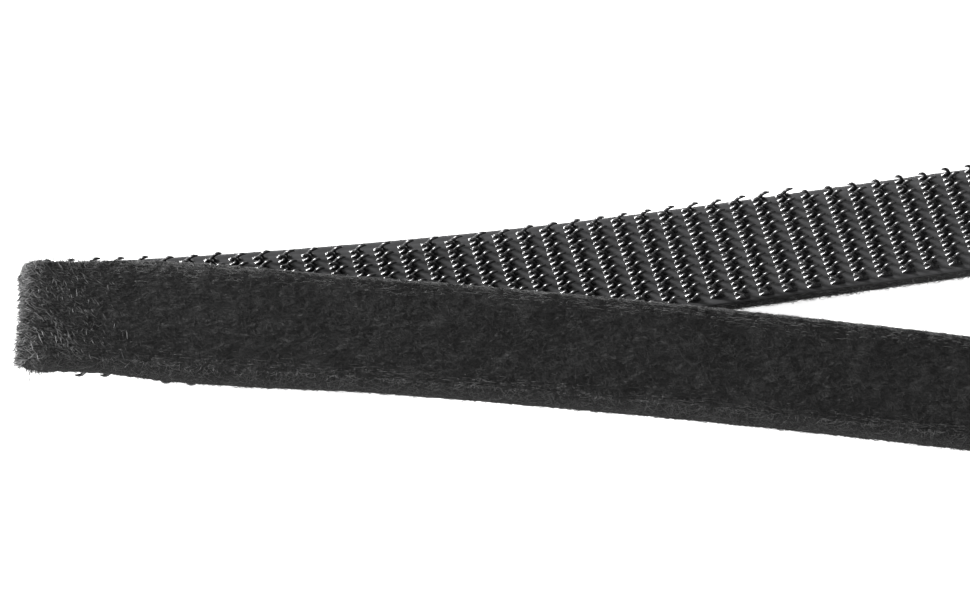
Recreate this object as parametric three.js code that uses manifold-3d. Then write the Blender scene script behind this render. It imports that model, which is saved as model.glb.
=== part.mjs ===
// The start of a roll of back-to-back hook and loop tape. The roll stands on its rim, its last
// turn runs out flat as a leg, folds over and lies back across the leg as a free end.
// Millimetres, +Z up. X runs along the leg towards the roll, Y across the tape, away from
// the side that the free end swings to. The origin is under the middle of the whole object.
import * as THREE from "three";
import { mergeVertices } from "three/addons/utils/BufferGeometryUtils.js";
import Module from "manifold-3d";

const wasm = await Module();
wasm.setup();

// Tape: brushed loop fabric, bonding film and moulded hook ribbon, one on the other
const TAPE_WIDTH = 10;
const FABRIC_THICKNESS = 1.0;
const FILM_THICKNESS = 0.1;
const RIBBON_THICKNESS = 0.3;
const FILM_FACE = FABRIC_THICKNESS;
const RIBBON_FACE = FILM_FACE + FILM_THICKNESS;
const HOOK_FACE = RIBBON_FACE + RIBBON_THICKNESS;

// Hooks: rows across the tape, with a J hook in each lane, bent to one side and the other in turn
const HOOK_HEIGHT = 0.85;
const HOOK_HEEL = 0.55;
const HOOK_TOE = 0.4;
const HOOK_NECK_BACK = 0.03;
const HOOK_NECK_FRONT = 0.32;
const HOOK_NECK_HEIGHT = 0.42;
const HOOK_CREST = 0.5;
const HOOK_TIP = 0.75;
const HOOK_TIP_DROP = 0.16;
const HOOK_THROAT = 0.44;
const HOOK_THROAT_DROP = 0.24;
const HOOK_THICKNESS = 0.25;
const HOOK_SINK = 0.06;
const HOOK_CLEARANCE = 0.3;
const LANE_PITCH = 0.5;
const ROW_PITCH = 2.0;
// The solids carry the hooks of every third lane in every second row, moulded into the ribbon
const LANE_STEP = 3;
const ROW_STEP = 2;

// Roll: paper core with the tape wound on it, fabric side out
const CORE_BORE = 26;
const CORE_WALL = 3;
const CORE_PROUD = 0.5;
const CORE_EDGE = 0.4;
const TURNS = 11;
const STEPS_PER_TURN = 24;
const FIRST_TURN_SEAT = 0.3;
const TURN_GAP = 0.65;
const ROLL_SETTLE = 0.2;
const CORE_RADIUS = CORE_BORE / 2 + CORE_WALL;
const TURN_PITCH = HOOK_FACE + TURN_GAP;
const ROLL_RADIUS = CORE_RADIUS + FIRST_TURN_SEAT + HOOK_FACE + TURNS * TURN_PITCH;
const ROLL_HEIGHT = ROLL_RADIUS - ROLL_SETTLE;

// Leg: flat on the table from the roll, curling up to the fold as the wound tape does
const LEG_LENGTH = 122;
const CURL_LENGTH = 58;
const CURL_RISE = 4.4;
const CURL_STEPS = 12;

// Fold: a soft U turn, with the hooks of both layers inside. Its lower part takes all the twist,
// and it starts to slide sideways a little later
const FOLD_GAP = 1.2;
const FOLD_STEPS = 10;
const FOLD_TWIST_SHARE = 0.5;
const FOLD_SHIFT = 1.5;
const FOLD_SHIFT_START = 0.25;

// Free end: lies back over the leg, turned to the near side and leaning that way, down to the table
const FREE_LENGTH = 84;
const FREE_TURN = THREE.MathUtils.degToRad(13.4);
const FREE_LEAN = THREE.MathUtils.degToRad(6);
const FREE_LEAN_LENGTH = 20;
const FREE_REST = 0.55;
const FREE_STEPS = 14;
const FREE_DROP_SHARE = 0.05;

// The tape as stations: a point on the fabric's outer face, the way to the hook side (normal),
// the way across (across) and the way along (along)
function station(point, normal, across) {
  const along = new THREE.Vector3().crossVectors(across, normal).normalize();
  return { point, normal, across, along };
}

function legHeight(x) {
  const left = Math.max(0, 1 - x / CURL_LENGTH);
  return CURL_RISE * left ** 2;
}

function legSlope(x) {
  const left = Math.max(0, 1 - x / CURL_LENGTH);
  return (-2 * CURL_RISE * left) / CURL_LENGTH;
}

function legStation(x) {
  const pitch = Math.atan(legSlope(x));
  return station(
    new THREE.Vector3(x, 0, legHeight(x)),
    new THREE.Vector3(-Math.sin(pitch), 0, Math.cos(pitch)),
    new THREE.Vector3(0, 1, 0),
  );
}

// The fold turns about its centre from the leg's direction to the free end's
const FOLD_RADIUS = HOOK_FACE + FOLD_GAP / 2;
const FOLD_START = Math.atan(-legSlope(0));
const FOLD_CENTRE = new THREE.Vector3(
  FOLD_RADIUS * Math.sin(FOLD_START),
  0,
  legHeight(0) + FOLD_RADIUS * Math.cos(FOLD_START),
);
const FREE_START_HEIGHT = FOLD_CENTRE.z + FOLD_RADIUS;
const FREE_END_HEIGHT = HOOK_FACE + HOOK_HEIGHT + FREE_REST;

function foldStation(share) {
  const turned = THREE.MathUtils.lerp(FOLD_START, Math.PI, share);
  const turn = FREE_TURN * THREE.MathUtils.smoothstep(share, 0, FOLD_TWIST_SHARE);
  const inward = new THREE.Vector3(Math.sin(turned), 0, Math.cos(turned));
  const point = FOLD_CENTRE.clone().addScaledVector(inward, -FOLD_RADIUS);
  point.y = -FOLD_SHIFT * THREE.MathUtils.smoothstep(share, FOLD_SHIFT_START, 1);
  const across = new THREE.Vector3(Math.sin(turn), Math.cos(turn), 0);
  return station(point, inward, across);
}

function freeHeight(s) {
  const t = s / FREE_LENGTH;
  const fall = FREE_DROP_SHARE * t + (1 - FREE_DROP_SHARE) * t ** 2;
  return THREE.MathUtils.lerp(FREE_START_HEIGHT, FREE_END_HEIGHT, fall);
}

function freeLean(s) {
  return FREE_LEAN * THREE.MathUtils.smoothstep(s, 0, FREE_LEAN_LENGTH);
}

function freeStation(s) {
  const fallShare = FREE_DROP_SHARE + (2 * (1 - FREE_DROP_SHARE) * s) / FREE_LENGTH;
  const slope = ((FREE_START_HEIGHT - FREE_END_HEIGHT) / FREE_LENGTH) * fallShare;
  const pitch = Math.atan(slope) * THREE.MathUtils.smoothstep(s, 0, FREE_LENGTH / FREE_STEPS);
  const point = new THREE.Vector3(
    FOLD_CENTRE.x + s * Math.cos(FREE_TURN),
    -FOLD_SHIFT - s * Math.sin(FREE_TURN),
    freeHeight(s),
  );
  const level = new THREE.Vector3(Math.sin(FREE_TURN), Math.cos(FREE_TURN), 0);
  const down = new THREE.Vector3(
    -Math.sin(pitch) * Math.cos(FREE_TURN),
    Math.sin(pitch) * Math.sin(FREE_TURN),
    -Math.cos(pitch),
  );
  const lean = freeLean(s);
  const normal = down.clone().multiplyScalar(Math.cos(lean)).addScaledVector(level, Math.sin(lean));
  const across = level.clone().multiplyScalar(Math.cos(lean)).addScaledVector(down, -Math.sin(lean));
  return station(point, normal, across);
}

// The winding leaves the table where its outer face, pressed down a little, rises from it
const ROLL_START = Math.acos(ROLL_HEIGHT / ROLL_RADIUS);
const LEG_END = LEG_LENGTH + ROLL_RADIUS * Math.sin(ROLL_START);

function windingStation(turned) {
  const radius = ROLL_RADIUS - (TURN_PITCH * turned) / (2 * Math.PI);
  const angle = ROLL_START + turned;
  return station(
    new THREE.Vector3(
      LEG_LENGTH + radius * Math.sin(angle),
      0,
      ROLL_HEIGHT - radius * Math.cos(angle),
    ),
    new THREE.Vector3(-Math.sin(angle), 0, Math.cos(angle)),
    new THREE.Vector3(0, 1, 0),
  );
}

// The stretches run from the free end's cut edge to the core
function spaced(steps, make) {
  return Array.from({ length: steps + 1 }, (_, i) => make(i / steps));
}

const foldStations = spaced(FOLD_STEPS, (t) => foldStation(1 - t));
const freeStations = spaced(FREE_STEPS, (t) => freeStation(FREE_LENGTH * (1 - t)));
const legStations = spaced(CURL_STEPS, (t) => legStation(CURL_LENGTH * t));
legStations.push(legStation(LEG_END));
const windingStations = spaced(TURNS * STEPS_PER_TURN, (t) => windingStation(TURNS * 2 * Math.PI * t));
// Each stretch starts with the very station that the one before it ends with
foldStations[0] = freeStations[FREE_STEPS];
legStations[0] = foldStations[FOLD_STEPS];
windingStations[0] = legStations[legStations.length - 1];

function pointAt(s, height, side) {
  return s.point
    .clone()
    .addScaledVector(s.normal, height)
    .addScaledVector(s.across, (side * TAPE_WIDTH) / 2);
}

// A layer of the tape between two heights above the fabric's face, as a closed strip
function layerGeometry(stations, low, high) {
  const corners = stations.flatMap((s) => [
    pointAt(s, low, -1),
    pointAt(s, low, 1),
    pointAt(s, high, -1),
    pointAt(s, high, 1),
  ]);
  const faces = [];
  const quad = (a, b, c, d) => faces.push(a, b, c, a, c, d);
  for (let i = 0; i < stations.length - 1; i++) {
    const a = 4 * i;
    const b = a + 4;
    quad(a, a + 1, b + 1, b);
    quad(a + 2, b + 2, b + 3, a + 3);
    quad(a, b, b + 2, a + 2);
    quad(a + 1, a + 3, b + 3, b + 1);
  }
  const last = 4 * (stations.length - 1);
  quad(0, 2, 3, 1);
  quad(last, last + 1, last + 3, last + 2);
  const geometry = new THREE.BufferGeometry().setFromPoints(corners);
  geometry.setIndex(faces);
  return geometry;
}

function toSolid(geometry) {
  const bare = geometry.clone();
  bare.deleteAttribute("normal");
  bare.deleteAttribute("uv");
  const merged = mergeVertices(bare);
  return new wasm.Manifold(
    new wasm.Mesh({
      numProp: 3,
      vertProperties: new Float32Array(merged.getAttribute("position").array),
      triVerts: new Uint32Array(merged.index.array),
    }),
  );
}

function toGeometry(solid) {
  const mesh = solid.getMesh();
  const geometry = new THREE.BufferGeometry();
  geometry.setAttribute("position", new THREE.BufferAttribute(mesh.vertProperties, 3));
  geometry.setIndex(new THREE.BufferAttribute(mesh.triVerts, 1));
  geometry.computeVertexNormals();
  return geometry;
}

// One J hook, seen across the tape: a long heel, a back that leans over to the crest, a thin
// tip beyond it and a neck that stands over the short toe
function hookShape() {
  const shape = new THREE.Shape();
  shape.moveTo(-HOOK_HEEL, -HOOK_SINK);
  shape.lineTo(HOOK_TOE, -HOOK_SINK);
  shape.lineTo(HOOK_NECK_FRONT, HOOK_NECK_HEIGHT);
  shape.lineTo(HOOK_THROAT, HOOK_HEIGHT - HOOK_THROAT_DROP);
  shape.lineTo(HOOK_TIP, HOOK_HEIGHT - HOOK_TIP_DROP);
  shape.lineTo(HOOK_CREST, HOOK_HEIGHT);
  shape.lineTo(HOOK_NECK_BACK, HOOK_NECK_HEIGHT);
  return shape;
}

const hookGeometry = new THREE.ExtrudeGeometry(hookShape(), {
  depth: HOOK_THICKNESS,
  steps: 1,
  bevelEnabled: false,
}).translate(0, 0, -HOOK_THICKNESS / 2);

function hookSolid(s, side, turned) {
  const foot = s.point
    .clone()
    .addScaledVector(s.normal, HOOK_FACE)
    .addScaledVector(s.across, side);
  const along = s.along.clone().multiplyScalar(turned ? -1 : 1);
  const depth = new THREE.Vector3().crossVectors(along, s.normal);
  const placed = new THREE.Matrix4().makeBasis(along, s.normal, depth).setPosition(foot);
  return toSolid(hookGeometry.clone().applyMatrix4(placed));
}

// A row of hooks across the tape, the lanes bent to one side and the other in turn
function hookRow(s) {
  const lanes = Math.round(TAPE_WIDTH / LANE_PITCH / LANE_STEP);
  const pitch = LANE_PITCH * LANE_STEP;
  return Array.from({ length: lanes }, (_, i) =>
    hookSolid(s, (i - (lanes - 1) / 2) * pitch, i % 2 === 1),
  );
}

// Hooks stand only where the other layer, while it lies over this one, and the roll above
// leave them their height
function roomBetweenLegs(x) {
  const apart = FOLD_SHIFT + x * Math.sin(FREE_TURN);
  if (apart > TAPE_WIDTH) return Infinity;
  const nearEdgeDrop = (TAPE_WIDTH / 2) * Math.sin(freeLean(x));
  return freeHeight(x) - nearEdgeDrop - legHeight(x) - 2 * HOOK_FACE;
}

function roomUnderRoll(x) {
  const reach = LEG_LENGTH - x;
  const outer = ROLL_RADIUS - TURN_PITCH / 2;
  if (reach > outer) return Infinity;
  return ROLL_HEIGHT - Math.sqrt(outer ** 2 - reach ** 2) - HOOK_FACE;
}

function hookRows(length, makeStation, hasRoom) {
  const pitch = ROW_PITCH * ROW_STEP;
  const rows = [];
  for (let x = pitch / 2; x < length - HOOK_TIP; x += pitch)
    if (hasRoom(x)) rows.push(...hookRow(makeStation(x)));
  return rows;
}

function ribbonWithHooks(stations, hooks) {
  const ribbon = toSolid(layerGeometry(stations, RIBBON_FACE, HOOK_FACE));
  return toGeometry(wasm.Manifold.union([ribbon, ...hooks]));
}

// Two hooks meet between the legs, and each row keeps clear of the tips of the other
const legHooks = hookRows(
  LEG_END,
  legStation,
  (x) =>
    roomBetweenLegs(x) > 2 * HOOK_HEIGHT + HOOK_CLEARANCE &&
    roomUnderRoll(x + HOOK_TIP) > HOOK_HEIGHT + HOOK_CLEARANCE,
);
const freeHooks = hookRows(
  FREE_LENGTH,
  freeStation,
  (x) => roomBetweenLegs(x) > 2 * HOOK_HEIGHT + HOOK_CLEARANCE,
);

// The core is a paper tube with its cut edges eased
function coreGeometry() {
  const inner = CORE_BORE / 2;
  const outer = CORE_RADIUS;
  const half = TAPE_WIDTH / 2 + CORE_PROUD;
  const profile = [
    [inner, CORE_EDGE - half],
    [inner + CORE_EDGE, -half],
    [outer - CORE_EDGE, -half],
    [outer, CORE_EDGE - half],
    [outer, half - CORE_EDGE],
    [outer - CORE_EDGE, half],
    [inner + CORE_EDGE, half],
    [inner, half - CORE_EDGE],
    [inner, CORE_EDGE - half],
  ].map(([r, y]) => new THREE.Vector2(r, y));
  return new THREE.LatheGeometry(profile, 2 * STEPS_PER_TURN);
}

const fabric = new THREE.MeshStandardMaterial({ color: 0x2b2b2b, roughness: 0.95, metalness: 0 });
const film = new THREE.MeshStandardMaterial({ color: 0x18181a, roughness: 0.5, metalness: 0 });
const plastic = new THREE.MeshStandardMaterial({ color: 0x1d1d1f, roughness: 0.3, metalness: 0 });
const paper = new THREE.MeshStandardMaterial({ color: 0xb08a5b, roughness: 0.9, metalness: 0 });

const roll = new THREE.Group();

function add(name, geometry, material) {
  const mesh = new THREE.Mesh(geometry, material);
  mesh.name = name;
  roll.add(mesh);
  return mesh;
}

function addStretch(name, stations, hooks) {
  add(`loop_fabric_${name}`, layerGeometry(stations, 0, FILM_FACE), fabric);
  add(`bond_film_${name}`, layerGeometry(stations, FILM_FACE, RIBBON_FACE), film);
  add(`hook_ribbon_${name}`, ribbonWithHooks(stations, hooks), plastic);
}

const core = add("core_tube", coreGeometry(), paper);
core.position.set(LEG_LENGTH, 0, ROLL_HEIGHT);
addStretch("winding", windingStations, []);
addStretch("leg", legStations, legHooks);
addStretch("fold", foldStations, []);
addStretch("free_end", freeStations, freeHooks);

// The least gap of the winding to itself, measured on points along its two faces
function leastTurnGap() {
  const between = (from, to, t, height) =>
    pointAt(from, height, 0).lerp(pointAt(to, height, 0), t);
  let least = Infinity;
  for (let i = 0; i + STEPS_PER_TURN < windingStations.length - 1; i++) {
    const outer = windingStations.slice(i, i + 2);
    const inner = windingStations.slice(i + STEPS_PER_TURN, i + STEPS_PER_TURN + 2);
    for (const t of [0, 0.25, 0.5, 0.75, 1])
      for (const u of [0, 0.25, 0.5, 0.75, 1]) {
        const gap = between(...outer, t, HOOK_FACE).distanceTo(between(...inner, u, 0));
        least = Math.min(least, gap);
      }
  }
  return least;
}

// The origin moves to the middle of the object's box, at its foot
roll.updateMatrixWorld(true);
const box = new THREE.Box3().setFromObject(roll, true);
const middle = box.getCenter(new THREE.Vector3());
roll.position.set(-middle.x, -middle.y, -box.min.z);

const toRow = (v) => v.clone().add(roll.position).toArray().map((c) => Number(c.toFixed(3)));
console.log("least gap between turns", leastTurnGap().toFixed(3), "mm");
console.log("size", box.getSize(new THREE.Vector3()).toArray().map((c) => c.toFixed(2)).join(" x "));
console.log("fold axis through", toRow(FOLD_CENTRE.clone().setY(-FOLD_SHIFT / 2)));
console.log("roll centre", toRow(new THREE.Vector3(LEG_LENGTH, 0, ROLL_HEIGHT)), "radius", ROLL_RADIUS);
console.log("leg end", toRow(new THREE.Vector3(LEG_END, 0, 0)), "hooks", legHooks.length, freeHooks.length);

export default roll;
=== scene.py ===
"""A roll of black back-to-back hook and loop tape, with its start folded over, dressed for the camera."""

import logging
import math
from dataclasses import dataclass
from enum import Enum
from typing import Callable

import bpy
import numpy as np
from mathutils import Matrix, Vector


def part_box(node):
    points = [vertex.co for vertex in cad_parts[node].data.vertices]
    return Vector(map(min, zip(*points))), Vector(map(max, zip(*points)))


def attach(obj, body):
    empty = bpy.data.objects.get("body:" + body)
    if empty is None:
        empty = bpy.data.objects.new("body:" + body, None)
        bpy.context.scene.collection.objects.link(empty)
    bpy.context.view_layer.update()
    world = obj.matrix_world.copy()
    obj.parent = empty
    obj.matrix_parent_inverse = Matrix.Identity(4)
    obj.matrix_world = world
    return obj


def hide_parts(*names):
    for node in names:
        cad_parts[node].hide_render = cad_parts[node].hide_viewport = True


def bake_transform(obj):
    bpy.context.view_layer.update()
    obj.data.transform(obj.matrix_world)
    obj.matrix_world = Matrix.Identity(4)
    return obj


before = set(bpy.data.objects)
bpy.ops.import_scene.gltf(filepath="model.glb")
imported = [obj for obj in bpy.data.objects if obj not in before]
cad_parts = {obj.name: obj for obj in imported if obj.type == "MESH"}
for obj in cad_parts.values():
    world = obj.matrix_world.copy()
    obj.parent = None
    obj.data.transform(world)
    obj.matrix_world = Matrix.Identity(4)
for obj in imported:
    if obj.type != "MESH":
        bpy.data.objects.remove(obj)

MM = 0.001
SHARP_ANGLE = math.radians(38)
NOISE_CELLS = 256
NOISE_SHIFT = 300.0
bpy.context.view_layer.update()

log = logging.getLogger("tape")


# Sizes, all in millimetres


@dataclass(frozen=True)
class TapeSizes:
    """The tape's layers, counted from the fleece's outer face to the hook side."""

    width: float = 10.0
    fabric: float = 1.0
    film: float = 0.1
    film_inset: float = 0.06
    ribbon: float = 0.3
    ribbon_edge: float = 0.05

    @property
    def film_face(self) -> float:
        """Height of the bonding film's lower face."""
        return self.fabric

    @property
    def ribbon_face(self) -> float:
        """Height of the ribbon's lower face."""
        return self.fabric + self.film

    @property
    def hook_face(self) -> float:
        """Height of the face that the hooks stand on."""
        return self.ribbon_face + self.ribbon


@dataclass(frozen=True)
class HookSizes:
    """One moulded J hook and the grid that the hooks stand in."""

    height: float = 0.85
    heel: float = 0.62
    toe: float = 0.6
    shoulder: float = 0.45
    shoulder_height: float = 0.125
    neck_back: float = -0.18
    neck_front: float = 0.2
    neck_height: float = 0.42
    brow: float = 0.2
    brow_height: float = 0.775
    brow_length: float = 0.15
    crest: float = 0.48
    tip: float = 0.76
    tip_drop: float = 0.15
    throat: float = 0.46
    throat_drop: float = 0.23
    tip_taper: float = 0.4
    thickness: float = 0.24
    bevel: float = 0.07
    bevel_share: float = 0.7
    sink: float = 0.04
    lane_pitch: float = 0.5
    row_pitch: float = 2.0
    lanes: int = 18
    drift: float = 0.0216
    drift_start: float = 30.5
    slip: float = 0.65
    slip_back: float = 0.35
    slip_length: float = 15.0
    slip_shown: float = 17.5
    lead: float = 0.55
    lead_length: float = 24.0
    near_room: float = 0.32
    slipped_room: float = 0.08
    free_room: float = 0.7
    far_room: float = 0.03
    least_share: float = 0.25
    end_share: float = 0.8
    rail: float = 0.015
    rail_foot: float = 0.19
    rail_top: float = 0.12
    tall_range: tuple[float, float] = (0.94, 1.03)
    reach_range: tuple[float, float] = (0.94, 1.05)
    sway: float = 0.035

    def lane_shift(self, on_leg: np.ndarray) -> np.ndarray:
        """How far the lanes stand to the far side, where the slit edge wanders.

        Args:
            on_leg: Distances from the fold along the leg, below zero on the free end.

        Returns:
            The shifts in millimetres.
        """
        wander = self.drift * (np.clip(on_leg, self.drift_start, ROUTE.leg_length) - self.drift_start)
        slipped = (self.slip + self.slip_back) * np.clip(-on_leg / self.slip_length, 0, 1) - self.slip
        led = self.lead * np.clip(1 - on_leg / self.lead_length, 0, 1)
        return wander + np.where(on_leg < 0, slipped, led)


@dataclass(frozen=True)
class RollSizes:
    """The paper core and the winding."""

    bore: float = 26.0
    wall: float = 3.0
    turns: int = 11
    seat: float = 0.3
    turn_gap: float = 0.65
    hook_sink: float = 0.15
    settle: float = 0.2


@dataclass(frozen=True)
class RouteSizes:
    """Where the tape runs from the roll to its cut end."""

    leg_length: float = 122.0
    curl_length: float = 58.0
    curl_rise: float = 4.4
    fold_gap: float = 1.2
    hook_clearance: float = 0.05
    pair_clearance: float = 0.03
    fold_twist_share: float = 0.5
    fold_shift: float = 1.5
    fold_shift_start: float = 0.25
    fold_press: float = 0.3
    fold_cone: float = math.radians(4.0)
    free_length: float = 84.0
    free_turn: float = math.radians(13.4)
    free_lean: float = math.radians(6.0)
    free_lean_length: float = 20.0
    free_pitch_length: float = 6.0
    free_rest: float = 0.55
    free_drop_share: float = 0.05


@dataclass(frozen=True)
class PileSizes:
    """The brushed pile: how uneven it is, and the skirt that hangs over the ribbon's cut side."""

    lump: float = 0.055
    lumpy_share: float = 0.8
    tuft: float = 1.1
    fleck: float = 0.45
    fleck_share: float = 0.7
    ragged: float = 0.7
    ragged_from: float = 0.1
    bulge: float = 0.22
    bulge_full: float = 1.15
    corner: float = 0.5
    tuck: float = 0.13
    tuck_share: float = 1 / 7
    skirt: float = 0.3
    skirt_gap: float = 0.015
    rim: float = 0.25
    rim_share: float = 0.4
    splay_width: float = 1.0
    flare: float = 0.42
    flare_start: float = 6.0
    flare_full: float = 9.0
    flare_end: float = 22.0
    near_share: float = 0.75
    near_delay: float = 4.0

    def splay(self, place: np.ndarray, side: np.ndarray) -> np.ndarray:
        """How far the edges are splayed beside the fold.

        Args:
            place: Distances from the cut end, in millimetres.
            side: Distances across.

        Returns:
            How far each point moves across.
        """
        from_fold = ROUTE.free_length - place - self.near_delay * (side < 0)
        rise = smooth(from_fold / self.flare_start) * (from_fold > 0)
        fall = 1 - smooth((from_fold - self.flare_full) / (self.flare_end - self.flare_full))
        at_edge = smooth((np.abs(side) - TAPE.width / 2) / self.splay_width + 1)
        return self.flare * rise * fall * at_edge * np.where(side > 0, 1.0, -self.near_share)


@dataclass(frozen=True)
class StrandSizes:
    """How brushed strands are scattered: millimetres, radians, and shares of a strand's own length."""

    overhang: float = 0.2
    heading: float = 0.6
    drift: float = 0.35
    drift_cell: float = 1.8
    stray_share: float = 0.2
    curl: float = 0.5
    stray_curl: float = 0.8
    matted_gamma: tuple[float, float] = (6.0, 0.16)
    matted_range: tuple[float, float] = (0.35, 1.9)
    rise_range: tuple[float, float] = (0.3, 1.6)
    rounding_share: float = 0.6
    sink: float = 0.03
    reach_past: float = 0.15
    reach_uneven: float = 0.25
    open_inset: float = 0.3
    open_root: float = 0.12
    open_heading: float = 0.75
    open_gamma: tuple[float, float] = (5.0, 0.2)
    open_range: tuple[float, float] = (0.4, 2.0)
    droop: float = 0.5
    droop_in: float = 0.2
    fringe_spread: float = 0.32
    fringe_gamma: tuple[float, float] = (4.0, 0.25)
    fringe_range: tuple[float, float] = (0.2, 2.2)
    fringe_width: float = 1.6
    fringe_tilt: float = 0.3
    fringe_root: float = 0.05
    hump_power: float = 0.8
    rim_fall: float = 0.15
    rim_sink: float = 0.02
    rim_share: float = 0.5
    end_taper: float = 8.0
    end_least: float = 0.35


TAPE = TapeSizes()
STRAND = StrandSizes()
PILE = PileSizes()
HOOK = HookSizes()
ROLL = RollSizes()
ROUTE = RouteSizes()


class Body(Enum):
    """The two rigid bodies of the frame."""

    ROLL = "roll"
    FREE_END = "free_end"


class Slot(Enum):
    """Material slots of the record."""

    LOOP_FABRIC = "loop_fabric"
    HOOK_PLASTIC = "hook_plastic"
    BOND_FILM = "bond_film"
    CORE_PAPER = "core_paper"


# The tape's route


@dataclass
class Stations:
    """Points on the fleece's outer face, with the way to the hook side and the way across, one row each."""

    point: np.ndarray
    normal: np.ndarray
    across: np.ndarray

    def along(self) -> np.ndarray:
        """The way along the tape, towards the core."""
        return np.cross(self.across, self.normal)

    def place(self, height: np.ndarray, side: np.ndarray) -> np.ndarray:
        """Points at a height above the outer face and a distance across from the middle.

        Args:
            height: Heights in millimetres, one per station.
            side: Distances across in millimetres, one per station.

        Returns:
            The points, one row each.
        """
        return self.point + self.normal * height[:, None] + self.across * side[:, None]


def smooth(t: np.ndarray) -> np.ndarray:
    """Eases from 0 to 1."""
    t = np.clip(t, 0.0, 1.0)
    return t * t * (3 - 2 * t)


def stack(*columns: np.ndarray) -> np.ndarray:
    """Three columns as rows of vectors."""
    return np.stack(np.broadcast_arrays(*columns), axis=1).astype(float)


class Route:
    """The line that the tape follows, worked out from the roll's core and the driving sizes."""

    def __init__(self) -> None:
        """Takes the roll's place from the frame."""
        low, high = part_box("core_tube")
        centre = (Vector(low) + Vector(high)) / 2 / MM
        self.turn_pitch = TAPE.hook_face + ROLL.turn_gap
        self.roll_radius = (
            ROLL.bore / 2 + ROLL.wall + ROLL.seat + TAPE.hook_face + ROLL.turns * self.turn_pitch
        )
        self.roll_height = self.roll_radius - ROLL.settle
        self.roll_start = math.acos(self.roll_height / self.roll_radius)
        self.origin = np.array([centre.x - ROUTE.leg_length, centre.y, centre.z - self.roll_height])
        self.fold_radius = TAPE.hook_face + ROUTE.fold_gap / 2
        self.fold_start = math.atan(2 * ROUTE.curl_rise / ROUTE.curl_length)
        self.fold_centre = np.array([
            self.fold_radius * math.sin(self.fold_start),
            0.0,
            ROUTE.curl_rise + self.fold_radius * math.cos(self.fold_start),
        ])
        self.free_start_height = self.fold_centre[2] + self.fold_radius
        self.free_end_height = TAPE.hook_face + HOOK.height + ROUTE.free_rest

    def leg_height(self, x: np.ndarray) -> np.ndarray:
        """Height of the leg's underside at x from the fold."""
        return ROUTE.curl_rise * np.clip(1 - x / ROUTE.curl_length, 0, None) ** 2

    def leg(self, d: np.ndarray) -> Stations:
        """The leg.

        Args:
            d: Distances from the fold.

        Returns:
            A station for each distance.
        """
        left = np.clip(1 - d / ROUTE.curl_length, 0, None)
        pitch = np.arctan(-2 * ROUTE.curl_rise * left / ROUTE.curl_length)
        return Stations(
            self.origin + stack(d, 0.0, self.leg_height(d)),
            stack(-np.sin(pitch), 0.0, np.cos(pitch)),
            stack(np.zeros_like(d), 1.0, 0.0),
        )

    def fold(self, d: np.ndarray) -> Stations:
        """The fold.

        Args:
            d: Distances from the free end's side.

        Returns:
            A station for each distance.
        """
        share = 1 - d / self.fold_length
        turned = self.fold_start + (math.pi - self.fold_start) * share
        bulge = np.sin(np.clip(share, 0, 1) * math.pi) ** 2
        turn = ROUTE.free_turn * smooth(share / ROUTE.fold_twist_share) + ROUTE.fold_cone * bulge
        inward = stack(np.sin(turned), 0.0, np.cos(turned))
        point = self.origin + self.fold_centre - inward * self.fold_radius
        point[:, 0] += ROUTE.fold_press * bulge
        shifted = smooth((share - ROUTE.fold_shift_start) / (1 - ROUTE.fold_shift_start))
        point[:, 1] -= ROUTE.fold_shift * shifted
        return Stations(point, inward, stack(np.sin(turn), np.cos(turn), 0.0))

    def free_height(self, s: np.ndarray) -> np.ndarray:
        """Height of the free end's fleece side.

        Args:
            s: Distances from the fold.

        Returns:
            The heights.
        """
        t = s / ROUTE.free_length
        fall = ROUTE.free_drop_share * t + (1 - ROUTE.free_drop_share) * t**2
        return self.free_start_height + (self.free_end_height - self.free_start_height) * fall

    def room_between(self, s: np.ndarray) -> np.ndarray:
        """Height for each of two hooks between the leg and the free end.

        Args:
            s: Distances from the fold.

        Returns:
            The heights.
        """
        near_edge_drop = TAPE.width / 2 * np.sin(self.free_lean(s))
        gap = self.free_height(s) - near_edge_drop - self.leg_height(s) - 2 * TAPE.hook_face
        return gap / 2 - ROUTE.pair_clearance

    def free_lean(self, s: np.ndarray) -> np.ndarray:
        """How far the free end leans to the near side, at s from the fold."""
        return ROUTE.free_lean * smooth(s / ROUTE.free_lean_length)

    def free_end(self, d: np.ndarray) -> Stations:
        """The free end.

        Args:
            d: Distances from its cut edge.

        Returns:
            A station for each distance.
        """
        s = ROUTE.free_length - d
        share = ROUTE.free_drop_share + 2 * (1 - ROUTE.free_drop_share) * s / ROUTE.free_length
        drop = (self.free_start_height - self.free_end_height) / ROUTE.free_length
        pitch = np.arctan(drop * share) * smooth(s / ROUTE.free_pitch_length)
        cos, sin = math.cos(ROUTE.free_turn), math.sin(ROUTE.free_turn)
        start = self.origin + np.array([self.fold_centre[0], -ROUTE.fold_shift, 0.0])
        level = stack(np.full_like(s, sin), cos, 0.0)
        down = stack(-np.sin(pitch) * cos, np.sin(pitch) * sin, -np.cos(pitch))
        lean = self.free_lean(s)[:, None]
        return Stations(
            start + stack(s * cos, -s * sin, self.free_height(s)),
            down * np.cos(lean) + level * np.sin(lean),
            level * np.cos(lean) - down * np.sin(lean),
        )

    def winding(self, d: np.ndarray) -> Stations:
        """The winding, inwards to the core.

        Args:
            d: Distances from the leg.

        Returns:
            A station for each distance.
        """
        inner = np.clip(self.roll_radius**2 - self.turn_pitch * d / math.pi, 0, None)
        turned = (self.roll_radius - np.sqrt(inner)) * 2 * math.pi / self.turn_pitch
        radius = self.roll_radius - self.turn_pitch * turned / (2 * math.pi)
        angle = self.roll_start + turned
        centre = self.origin + np.array([ROUTE.leg_length, 0.0, self.roll_height])
        return Stations(
            centre + stack(radius * np.sin(angle), 0.0, -radius * np.cos(angle)),
            stack(-np.sin(angle), 0.0, np.cos(angle)),
            stack(np.zeros_like(d), 1.0, 0.0),
        )

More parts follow.
